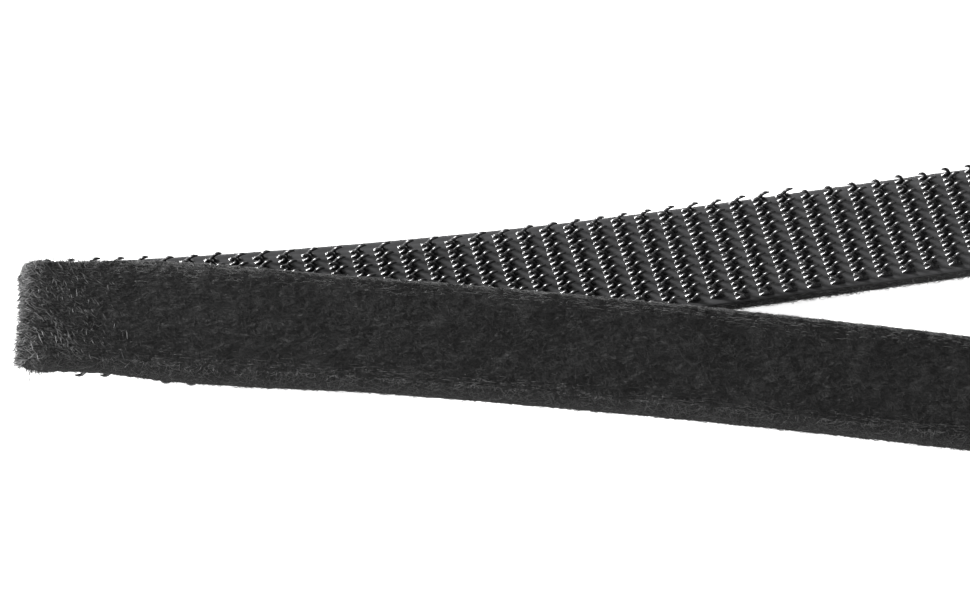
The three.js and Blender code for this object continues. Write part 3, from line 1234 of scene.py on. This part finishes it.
@dataclass
class Fibres:
    """Brushed nylon loops as fine curved strands along a stretch."""

    stretch: Stretch
    seed: int
    radius: float = 0.012
    steps: int = 5

    def strands(
        self, name: str, d: np.ndarray, side: np.ndarray, height: np.ndarray, material: bpy.types.Material
    ) -> bpy.types.Object:
        """Strands through points given on the tape.

        Args:
            name: The piece's name.
            d: Distances along, one row per strand and one column per point.
            side: Distances across.
            height: Heights above the outer face.
            material: The finish.

        Returns:
            The mesh.
        """
        count, points = d.shape
        st = self.stretch.stations(np.clip(d, 0, self.stretch.length).reshape(-1))
        beyond = (d - np.clip(d, 0, self.stretch.length)).reshape(-1)
        centre = st.place(height.reshape(-1), side.reshape(-1)) + st.along() * beyond[:, None]
        centre, normal = (a.reshape(count, points, 3) for a in (centre, st.normal))
        return self.tubes(name, centre, normal, material)

    def tubes(
        self, name: str, centre: np.ndarray, normal: np.ndarray, material: bpy.types.Material
    ) -> bpy.types.Object:
        """Fine three-sided tubes, thinner at their ends.

        Args:
            name: The piece's name.
            centre: Their middle lines, one row of points per tube.
            normal: The tape's normals at those points.
            material: The finish.

        Returns:
            The mesh.
        """
        count, points, _ = centre.shape
        way = np.gradient(centre, axis=1)
        way /= np.linalg.norm(way, axis=2)[:, :, None] + 1e-9
        first = np.cross(way, normal + 0.13)
        first /= np.linalg.norm(first, axis=2)[:, :, None] + 1e-9
        second = np.cross(first, way)
        t = np.linspace(0, 1, points)
        thick = self.radius * np.clip(t * (1 - t) * STRAND.end_taper, STRAND.end_least, 1)
        ring = []
        for turn in (0, 2 * math.pi / 3, 4 * math.pi / 3):
            offset = first * math.cos(turn) + second * math.sin(turn)
            ring.append(centre + offset * thick[None, :, None])
        verts = np.stack(ring, axis=2).reshape(-1, 3)
        shift = (np.arange(count) * points * 3)[:, None, None]
        quads = (ring_faces(points, 3)[None] + shift).reshape(-1, 4)
        start = (np.array([[[2, 1, 0]]]) + shift).reshape(-1, 3)
        end = (np.array([[[0, 1, 2]]]) + (points - 1) * 3 + shift).reshape(-1, 3)
        return make_object(name, verts, [quads, start, end], material)

    def matted(
        self, name: str, span: tuple[float, float], brushing: "Brushing", material: bpy.types.Material
    ) -> bpy.types.Object:
        """Loops that lie over the outer face in all directions.

        Args:
            name: The piece's name.
            span: Start and end along the stretch.
            brushing: How many loops there are and how high they rise.
            material: The finish.

        Returns:
            The mesh.
        """
        rng = np.random.default_rng(self.seed)
        count = int(brushing.density * TAPE.width * (span[1] - span[0]))
        root_d = rng.uniform(*span, count)
        root_side = rng.uniform(-0.5, 0.5, count) * (TAPE.width + STRAND.overhang)
        place = root_d + self.stretch.start
        drift = value_noise(place, root_side, STRAND.drift_cell, 41)
        heading = rng.normal(0, STRAND.heading, count) + STRAND.drift * drift
        stray = rng.random(count) < STRAND.stray_share
        heading = np.where(stray, rng.uniform(0, math.pi, count), heading)
        curl = rng.normal(0, STRAND.curl, count) + stray * rng.normal(0, STRAND.stray_curl, count)
        length = brushing.length * rng.gamma(*STRAND.matted_gamma, count).clip(*STRAND.matted_range)
        t = np.linspace(0, 1, self.steps)[None, :]
        bend = heading[:, None] + curl[:, None] * (t - 0.5)
        reach = length[:, None] * (t - 0.5)
        d = root_d[:, None] + np.cos(bend) * reach
        side = root_side[:, None] + np.sin(bend) * reach
        rise = brushing.loft * rng.uniform(*STRAND.rise_range, count)[:, None]
        rounding = np.linspace(0, TAPE.fabric * STRAND.rounding_share, 30)
        edge = np.interp(np.abs(side), pile_edge(rounding), rounding)
        ground = pile_depth(d + self.stretch.start, side) + edge + STRAND.sink
        height = ground - rise * 4 * t * (1 - t)
        most = TAPE.width / 2 + STRAND.reach_past - STRAND.reach_uneven * rng.random((count, 1))
        side = np.clip(side, -most, most)
        side = side + PILE.splay(d + self.stretch.start, side)
        return self.strands(name, d, side, height, material)

    def opened(
        self, name: str, span: tuple[float, float], brushing: "Brushing", material: bpy.types.Material
    ) -> bpy.types.Object:
        """Loops and hairs that the bend has opened, standing out of the outer face.

        Args:
            name: The piece's name.
            span: Start and end along the stretch.
            brushing: How many there are and how far they stand out.
            material: The finish.

        Returns:
            The mesh.
        """
        rng = np.random.default_rng(self.seed + 3)
        count = int(brushing.open_density * TAPE.width * (span[1] - span[0]))
        root_d = span[0] + (span[1] - span[0]) * rng.random(count) ** brushing.open_crowding
        root_side = rng.uniform(-0.5, 0.5, count) * (TAPE.width - STRAND.open_inset)
        st = self.stretch.stations(root_d)
        root = st.place(np.full(count, STRAND.open_root), root_side)
        heading = rng.normal(0, STRAND.open_heading, count)
        lift = brushing.open_lift * rng.uniform(0.1, 1.0, count)
        length = brushing.open_reach * rng.gamma(*STRAND.open_gamma, count).clip(*STRAND.open_range)
        flat = st.along() * np.cos(heading)[:, None] + st.across * np.sin(heading)[:, None]
        way = flat * np.cos(lift)[:, None] - st.normal * np.sin(lift)[:, None]
        droop = st.across * rng.normal(0, STRAND.droop, count)[:, None] + st.normal * STRAND.droop_in
        t = np.linspace(0, 1, self.steps)[None, :, None]
        course = way[:, None, :] * t + droop[:, None, :] * t * t * 0.5
        centre = root[:, None, :] + length[:, None, None] * course
        return self.tubes(name, centre, np.repeat(st.normal[:, None, :], self.steps, axis=1), material)

    def fringe(
        self, name: str, span: tuple[float, float], edge: float, density: float, reach: float,
        material: bpy.types.Material,
    ) -> bpy.types.Object:
        """Loops that stand out of one edge of the fabric.

        Args:
            name: The piece's name.
            span: Start and end along the stretch.
            edge: -1 for the near edge and 1 for the far one.
            density: Strands in a millimetre.
            reach: How far they stand out, in millimetres.
            material: The finish.

        Returns:
            The mesh.
        """
        rng = np.random.default_rng(self.seed + (1 if edge > 0 else 2))
        count = int(density * (span[1] - span[0]))
        root = rng.uniform(*span, count)
        spread = rng.normal(0, STRAND.fringe_spread, count)
        out = reach * rng.gamma(*STRAND.fringe_gamma, count).clip(*STRAND.fringe_range)
        t = np.linspace(0, 1, self.steps)[None, :]
        d = root[:, None] + spread[:, None] * (t - 0.5) * STRAND.fringe_width
        hump = np.sin(t * math.pi) ** STRAND.hump_power
        edge_height = TAPE.fabric + PILE.skirt
        start = rng.uniform(0.0, 1.0, count) * edge_height
        end = np.clip(start + rng.normal(0, STRAND.fringe_tilt, count), 0.0, edge_height)
        inset = np.where(rng.random(count) < PILE.rim_share, rng.exponential(PILE.rim, count), 0.0)[:, None]
        height = (start[:, None] + (end - start)[:, None] * t) * np.exp(-inset / STRAND.rim_fall)
        on_rim = STRAND.rim_sink - STRAND.rim_share * out[:, None] * hump
        height = height + np.where(inset > 0, on_rim, 0.0)
        from_edge = out[:, None] * hump - inset - STRAND.fringe_root
        side = edge * (pile_edge(np.maximum(height, 0.0)) + from_edge)
        side = side + PILE.splay(d + self.stretch.start, side)
        return self.strands(name, d, side, height, material)


# Sub-assemblies


@dataclass
class Brushing:
    """How much brushed-up loop a stretch shows.

    Densities are strands in a square millimetre, or in a millimetre of edge for the fringes.
    """

    density: float = 0.0
    loft: float = 0.0
    length: float = 1.0
    fringe_density: float = 0.0
    fringe_reach: float = 0.16
    far_share: float = 1.0
    open_density: float = 0.0
    open_reach: float = 0.3
    open_lift: float = 0.5
    open_span: tuple[float, float] = (0.0, 1.0)
    open_crowding: float = 1.0
    splits: int = 1


@dataclass
class TapeStretch:
    """The tape's layers, hooks and fibres along one stretch, in place of its CAD nodes."""

    sheets: Stretch
    stretch: Stretch
    finishes: dict[str, bpy.types.Material]
    room: Callable[[np.ndarray, np.ndarray], np.ndarray]
    held: str
    rests_on: list[str]
    brushing: Brushing
    seed: int
    fine: bool = True

    def settle(self, piece: bpy.types.Object, slot: Slot) -> bpy.types.Object:
        """Gives a piece its body.

        Args:
            piece: The piece.
            slot: Its slot; not used.

        Returns:
            The same piece.
        """
        self.stretch.put_on_body(piece)
        log.info("%s: %d faces", piece.name, len(piece.data.polygons))
        return piece

    def build(self) -> None:
        """Makes every layer of the stretch."""
        name = self.stretch.part.value
        layers = Layers(self.sheets)
        fibres = self.build_fibres()
        fabric = self.settle(layers.fabric(self.finishes["pile"]), Slot.LOOP_FABRIC)
        film = self.settle(layers.film(self.finishes["film"]), Slot.BOND_FILM)
        ribbon = self.settle(layers.ribbon(self.finishes["ribbon"]), Slot.HOOK_PLASTIC)
        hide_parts(f"loop_fabric_{name}")
        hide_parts(f"bond_film_{name}")
        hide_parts(f"hook_ribbon_{name}")
        self.build_hooks()

    def build_hooks(self) -> None:
        """Makes the hooks, all lanes or, in the winding, the lanes that show at its sides."""
        spare = round(HOOK.lane_shift(np.array([ROUTE.leg_length]))[0] / HOOK.lane_pitch)
        lanes = np.arange(-spare, HOOK.lanes)
        for i, (half, part_lanes) in enumerate(zip(("near", "far"), np.array_split(lanes, 2))):
            field_of_hooks = HookField(self.stretch, self.room, self.seed + i, self.fine)
            name = f"j_hooks_{self.stretch.part.value}_{half}"
            self.settle(field_of_hooks.build(name, part_lanes, self.finishes["hook"]), Slot.HOOK_PLASTIC)

    def build_fibres(self) -> list[bpy.types.Object]:
        """Makes the matted loops of the outer face, where it shows, and the fringes of both edges.

        Returns:
            The pieces.
        """
        name, length, brushing = self.stretch.part.value, self.stretch.length, self.brushing
        made = []
        outer_turn = 2 * math.pi * self.stretch.route.roll_radius
        cuts = np.linspace(0, min(length, outer_turn), brushing.splits + 1)
        if brushing.density:
            for i, span in enumerate(zip(cuts[:-1], cuts[1:])):
                brush = Fibres(self.stretch, self.seed + 10 * i)
                label = f"matted_loops_{name}_{i + 1}"
                made.append(brush.matted(label, span, brushing, self.finishes["fibre"]))
        if brushing.open_density:
            span = (brushing.open_span[0] * length, brushing.open_span[1] * length)
            tufts = Fibres(self.stretch, self.seed + 6, radius=0.03, steps=5)
            finish = self.finishes["opened" if self.stretch.part is Part.FOLD else "stray"]
            made.append(tufts.opened(f"opened_loops_{name}", span, brushing, finish))
        halves = ((0, length / 2), (length / 2, length))
        for edge, label, share in ((-1.0, "near", 1.0), (1.0, "far", brushing.far_share)):
            for i, span in enumerate(halves):
                brush = Fibres(self.stretch, self.seed + 5 + 2 * i)
                made.append(
                    brush.fringe(
                        f"fringe_{name}_{label}_{i + 1}", span, edge, brushing.fringe_density * share,
                        brushing.fringe_reach * share, self.finishes[f"{label}_fringe"],
                    )
                )
        return [self.settle(piece, Slot.LOOP_FABRIC) for piece in made]


@dataclass
class CoreTube:
    """The paper core, with eased edges and plies that stand a little apart on its cut ends."""

    finish: bpy.types.Material
    segments: int = 128
    ply: float = 0.45
    ply_half: float = 0.05
    ply_groove: float = 0.06
    last_ply: float = 0.1
    ease: tuple[float, float] = (0.2, 0.25)
    ease_drop: float = 0.02

    def build(self) -> bpy.types.Object:
        """Makes the tube in place of its CAD node.

        Returns:
            The tube.
        """
        low, high = (Vector(v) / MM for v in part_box("core_tube"))
        centre = (low + high) / 2
        inner, outer = ROLL.bore / 2, ROLL.bore / 2 + ROLL.wall
        half = (high.y - low.y) / 2
        plies = np.arange(inner + self.ply, outer - self.last_ply, self.ply)
        in_from_edge, down = self.ease
        face = [(inner, half - down), (inner + in_from_edge, half - self.ease_drop)]
        for r in plies:
            face += [(r - self.ply_half, half), (r, half - self.ply_groove), (r + self.ply_half, half)]
        face += [(outer - in_from_edge, half - self.ease_drop), (outer, half - down)]
        top = np.array(face)
        profile = np.concatenate([top, top[::-1] * np.array([1, -1])])
        turn = np.linspace(0, 2 * math.pi, self.segments, endpoint=False)
        count = len(profile)
        radius = np.tile(profile[:, 0], self.segments)
        across = np.tile(profile[:, 1], self.segments)
        angle = np.repeat(turn, count)
        points = stack(
            centre.x + radius * np.sin(angle), centre.y + across, centre.z + radius * np.cos(angle)
        )
        quads = ring_faces(self.segments + 1, count) % (self.segments * count)
        tube = make_object("paper_core_tube", points, [quads[:, ::-1]], self.finish)
        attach(tube, Body.ROLL.value)
        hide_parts("core_tube")
        log.info("%s: %d faces", tube.name, len(tube.data.polygons))
        return tube


@dataclass
class Studio:
    """White floor, soft light all round, a small key light and the camera."""

    route: Route
    right: tuple[float, float, float] = (0.9636, -0.2474, 0.1010)
    target: tuple[float, float, float] = (36.85, -0.31, 0.0)
    back: tuple[float, float, float] = (-0.2310, -0.5812, 0.7803)
    distance: float = 700.0
    frame_width: float = 77.46
    sensor: float = 36.0
    floor_size: float = 8.0

    def aim(self) -> Vector:
        """The point that the camera looks at, in metres."""
        return Vector(self.route.origin + np.array(self.target)) * MM

    def camera(self) -> None:
        """Sets the camera at the photograph's viewing angle."""
        back = Vector(self.back).normalized()
        right = Vector(self.right)
        right = (right - back * right.dot(back)).normalized()
        up = back.cross(right)
        data = bpy.data.cameras.new("camera")
        data.sensor_width = self.sensor
        data.lens = self.sensor * self.distance / self.frame_width
        data.clip_start, data.clip_end = 0.01, 100.0
        made = bpy.data.objects.new("camera", data)
        turned = Matrix((right, up, back)).transposed().to_4x4()
        made.matrix_world = Matrix.Translation(self.aim() + back * self.distance * MM) @ turned
        bpy.context.scene.collection.objects.link(made)
        bpy.context.scene.camera = made

    def lamp(
        self, name: str, way: tuple[float, float, float], away: float, size: float, power: float
    ) -> None:
        """An area lamp that looks at the tape.

        Args:
            name: The lamp's name.
            way: The direction from the tape to the lamp.
            away: Its distance in metres.
            size: Its width in metres.
            power: Its power in watts.
        """
        data = bpy.data.lights.new(name, "AREA")
        data.shape, data.size, data.energy = "DISK", size, power
        made = bpy.data.objects.new(name, data)
        direction = Vector(way).normalized()
        made.location = self.aim() + direction * away
        made.rotation_mode = "QUATERNION"
        made.rotation_quaternion = direction.to_track_quat("Z", "Y")
        bpy.context.scene.collection.objects.link(made)

    def floor(self) -> None:
        """A matte white floor, a little brighter to the camera so that it meets the white surround."""
        half = self.floor_size / 2
        mesh = bpy.data.meshes.new("floor")
        corners = [(-half, -half, 0), (half, -half, 0), (half, half, 0), (-half, half, 0)]
        mesh.from_pydata(corners, [], [(0, 1, 2, 3)])
        made = bpy.data.objects.new("floor", mesh)
        bpy.context.scene.collection.objects.link(made)
        material, tree, shader = new_material("white_floor")
        shader.inputs["Base Color"].default_value = linear("#bcbcbc")
        shader.inputs["Roughness"].default_value = 1.0
        shader.inputs["Specular IOR Level"].default_value = 0.0
        seen = add_node(tree, "ShaderNodeLightPath").outputs
        either = add_node(
            tree, "ShaderNodeMath", {0: seen["Is Camera Ray"], 1: seen["Is Glossy Ray"]}, operation="MAXIMUM"
        )
        lift = add_node(tree, "ShaderNodeMath", {0: either.outputs[0], 1: 0.93}, operation="MULTIPLY")
        shader.inputs["Emission Color"].default_value = linear("#ffffff")
        tree.links.new(lift.outputs[0], shader.inputs["Emission Strength"])
        mesh.materials.append(material)

    def surround(self) -> None:
        """An even white surround."""
        world = bpy.data.worlds.new("surround")
        world.use_nodes = True
        background = world.node_tree.nodes["Background"]
        background.inputs["Color"].default_value = linear("#ffffff")
        tree = world.node_tree
        seen = add_node(tree, "ShaderNodeLightPath").outputs["Is Camera Ray"]
        strength = add_node(tree, "ShaderNodeMix", {0: seen, 2: 0.25, 3: 1.0})
        tree.links.new(strength.outputs[0], background.inputs["Strength"])
        bpy.context.scene.world = world
        bpy.context.scene.view_settings.view_transform = "Standard"

    def build(self) -> None:
        """Makes the whole studio."""
        self.camera()
        self.floor()
        self.surround()
        self.lamp("key", (-0.69, 0.56, 0.46), away=0.9, size=0.26, power=36.0)
        self.lamp("top", (0.23, 0.58, 0.78), away=1.2, size=1.2, power=0.8)
        self.lamp("front", (-0.15, -0.9, 0.42), away=1.2, size=1.0, power=15.0)


class HookAndLoopTapeRoll:
    """The whole object."""

    fold_overrun = 5.0
    clear_of_edge = 0.7

    def __init__(self) -> None:
        """Sets up the route and the finishes."""
        self.route = Route()
        low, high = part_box("core_tube")
        centre = (Vector(low) + Vector(high)) / 2
        self.paper = KraftPaperboard().material(centre)
        self.finishes = {
            "pile": BrushedLoopPile().material(),
            "fibre": NylonFibre().material(),
            # Near fringe: a lighter copy of the fibre nylon, painted light that lifts the near edge out of
            # its shade.
            "near_fringe": NylonFibre("near_fringe_nylon_painted_light", "#3c3c3c", "#646464", glow=0.3).material(),
            # Far fringe: a much paler copy of the fibre nylon, a painted rim of back light along the far
            # edge.
            "far_fringe": NylonFibre("far_fringe_nylon_painted_rim_light", "#505050", "#8c8c8c").material(),
            # Loops opened on the fold: a paler copy of the fibre nylon, painted light that brightens the
            # fold.
            "opened": NylonFibre(
                "opened_loop_nylon_painted_light", "#404040", "#8a8a8a", spread_mm=0.6, roughness=0.6, shine=0.2, glow=0.35
            ).material(),
            # Loops opened beside the fold: a paler copy of the fibre nylon, painted light that brightens the
            # loops near the fold.
            "stray": NylonFibre(
                "stray_loop_nylon_painted_light", "#323232", "#5e5e5e", spread_mm=0.6, roughness=0.7, shine=0.12, glow=0.3
            ).material(),
            "film": HotMeltFilm().material(),
            # Hooks: the darker default tones, painted shade.
            "hook": MouldedHookNylon().material(),
            # Ribbon: the same moulded nylon with a satin roughness, painted lighter, painted light on the
            # face between the rows of hooks.
            "ribbon": MouldedHookNylon(
                "satin_ribbon_nylon_painted_light", "#272728", "#333334", roughness=0.42
            ).material(),
        }

    def uncovered(self, on_run: np.ndarray, from_edge: np.ndarray) -> np.ndarray:
        """Whether the other run of the folded tape leaves a place free.

        Args:
            on_run: Distances from the fold.
            from_edge: Distances from the edge that the other run leaves free.

        Returns:
            True where nothing lies against the hooks.
        """
        apart = ROUTE.fold_shift + on_run * math.sin(ROUTE.free_turn)
        return from_edge < apart - self.clear_of_edge

    def room_on_leg(self, d: np.ndarray, side: np.ndarray) -> np.ndarray:
        """Height left for the leg's hooks under the free end and under the roll.

        Args:
            d: Distances from the fold.
            side: Distances across.

        Returns:
            The heights.
        """
        route = self.route
        free = self.uncovered(d, TAPE.width / 2 - side)
        between = np.where(free, np.inf, route.room_between(d))
        reach = np.clip(ROUTE.leg_length - d, 0, None)
        outer = route.roll_radius - route.turn_pitch / 2
        under = route.roll_height - np.sqrt(np.clip(outer**2 - reach**2, 0, None)) - TAPE.hook_face
        return np.minimum(between, np.where(reach > outer, np.inf, under))

    def room_on_free_end(self, d: np.ndarray, side: np.ndarray) -> np.ndarray:
        """Height left for the free end's hooks over the leg.

        Args:
            d: Distances from the cut end.
            side: Distances across.

        Returns:
            The heights.
        """
        s = ROUTE.free_length - d
        free = self.uncovered(s, side + TAPE.width / 2)
        return np.where(free, np.inf, self.route.room_between(s))

    def room_in_fold(self, d: np.ndarray, side: np.ndarray) -> np.ndarray:
        """Height left for the hooks inside the fold."""
        return np.full_like(d, ROUTE.fold_gap / 2 - ROUTE.hook_clearance)

    def room_in_winding(self, d: np.ndarray, side: np.ndarray) -> np.ndarray:
        """Height left for the hooks between turns, which sink into the pile of the next turn."""
        last_turn = 2 * math.pi * (ROLL.bore / 2 + ROLL.wall + TAPE.hook_face + ROLL.seat)
        return np.where(d > self.route.winding_length - last_turn, ROLL.seat, ROLL.turn_gap + ROLL.hook_sink)

    def stretches(self, part: Part, start: str, end: str, step: float) -> dict[str, Stretch]:
        """A stretch of the sheets and the stretch of what stands on them.

        The fold's sheets run a little way along the leg and the free end.

        Args:
            part: The stretch's part.
            start: Name of the mark where it starts.
            end: Name of the mark where it ends.
            step: Length of one step of the sheets.

        Returns:
            Both stretches, by name.
        """
        marks = {"cut": 0.0, **self.route.marks}
        overrun = {"fold": -self.fold_overrun, "leg": self.fold_overrun}
        sheet_start, sheet_end = (marks[m] + overrun.get(m, 0.0) for m in (start, end))
        return {
            "sheets": Stretch(part, self.route, sheet_start, sheet_end, step),
            "stretch": Stretch(part, self.route, marks[start], marks[end], step),
        }

    def build(self) -> None:
        """Makes the core and the four stretches of tape."""
        CoreTube(self.paper).build()
        leg_sheet = "loop_fabric_leg_pile"
        TapeStretch(
            **self.stretches(Part.LEG, "leg", "winding", 0.5), finishes=self.finishes, room=self.room_on_leg,
            held="laid", rests_on=["floor"], brushing=Brushing(fringe_density=70.0, far_share=0.3), seed=101,
        ).build()
        TapeStretch(
            **self.stretches(Part.FOLD, "fold", "leg", 0.2), finishes=self.finishes, room=self.room_in_fold,
            held="folded", rests_on=[leg_sheet],
            brushing=Brushing(
                density=80.0, loft=0.12, length=0.8, fringe_density=130.0, fringe_reach=0.18,
                open_density=56.0, open_reach=0.52, open_lift=1.5, open_span=(0.0, 0.9), open_crowding=0.6,
            ), seed=211,
        ).build()
        TapeStretch(
            **self.stretches(Part.FREE_END, "cut", "fold", 0.3), finishes=self.finishes,
            room=self.room_on_free_end, held="folded", rests_on=[leg_sheet],
            brushing=Brushing(
                density=80.0, loft=0.07, length=1.0, fringe_density=130.0, fringe_reach=0.1,
                open_density=30.0, open_reach=0.42, open_lift=0.75, open_span=(0.9, 1.0), open_crowding=0.3,
                splits=9,
            ), seed=307,
        ).build()
        TapeStretch(
            **self.stretches(Part.WINDING, "winding", "core", 2.5), finishes=self.finishes,
            room=self.room_in_winding, held="stretched", rests_on=["paper_core_tube"],
            brushing=Brushing(density=3.0, loft=0.16, length=1.4, fringe_density=3.0), seed=401, fine=False,
        ).build()


def main() -> None:
    """Builds the studio and the object, in order."""
    logging.basicConfig(level=logging.INFO, format="%(name)s %(message)s")
    tape_roll = HookAndLoopTapeRoll()
    Studio(tape_roll.route).build()
    tape_roll.build()


if __name__ == "__main__":
    main()
